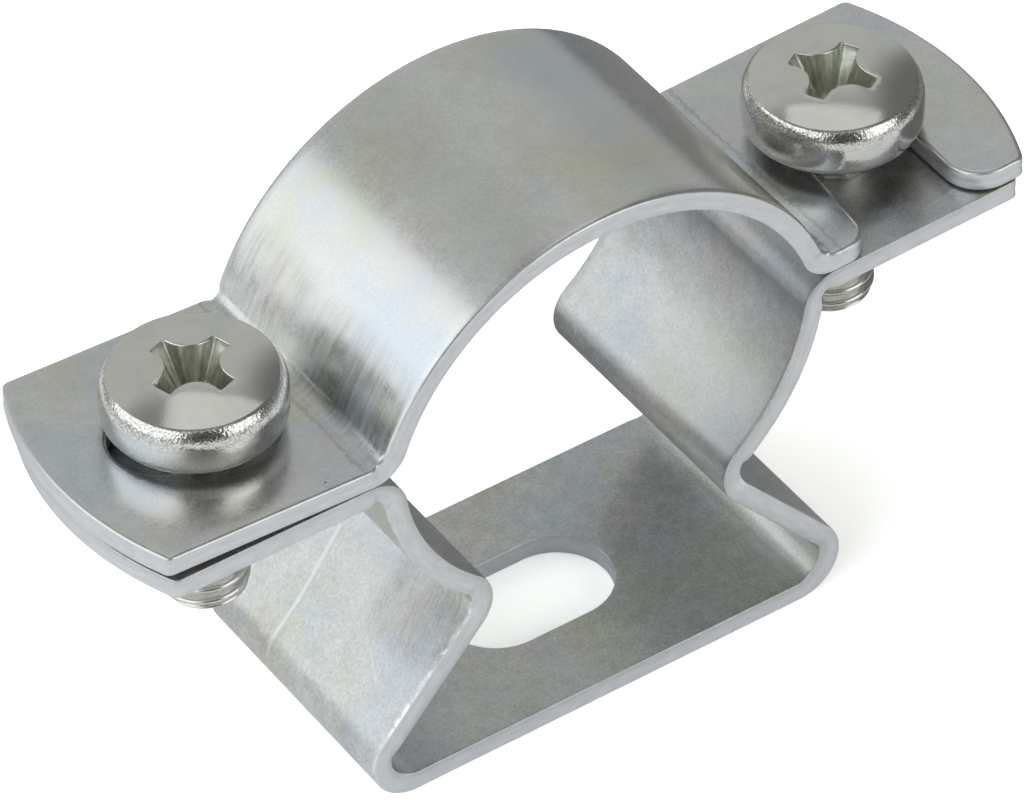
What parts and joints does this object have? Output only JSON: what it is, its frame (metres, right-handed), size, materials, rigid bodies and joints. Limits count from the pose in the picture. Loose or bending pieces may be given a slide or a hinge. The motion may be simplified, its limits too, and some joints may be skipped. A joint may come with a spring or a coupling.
{
  "type": "conduit strap",
  "caption": "Two-part steel spacing strap that clamps round conduit above a slotted wall footing, with a swing-open upper half held by pan-head screws.",
  "frame": {"origin": "middle of the footing's underside, where it meets the wall", "axes": "+X along the strip through both screws, +Y along the conduit, +Z away from the wall"},
  "size_m": [0.057, 0.016, 0.0338],
  "materials": {
    "plated_sheet": "bright zinc plating, mottled, with drawn streaks at the bends",
    "plated_screw": "bright zinc plating, grainy on the rolled rim"
  },
  "bodies": {
    "cradle": {"base_cradle": "plated_sheet"},
    "left_screw": {"screw_left": "plated_screw"},
    "right_screw": {"screw_right": "plated_screw"},
    "strap": {"top_strap": "plated_sheet"}
  },
  "joints": [
    {"name": "left_screw_rise", "type": "slide", "parent": "cradle", "child": "left_screw", "axis": [0, 0, 1], "range_m": [0, 0.008]},
    {"name": "right_screw_rise", "type": "slide", "parent": "cradle", "child": "right_screw", "axis": [0, 0, 1], "range_m": [0, 0.008]},
    {"name": "strap_swing", "type": "hinge", "parent": "left_screw", "child": "strap", "pos_m": [-0.02, 0, 0.0238], "axis": [0, 0, 1], "range_deg": [0, 340]}
  ],
  "couplings": [
    {"joint": "right_screw_rise", "follows": "left_screw_rise", "ratio": 1}
  ]
}
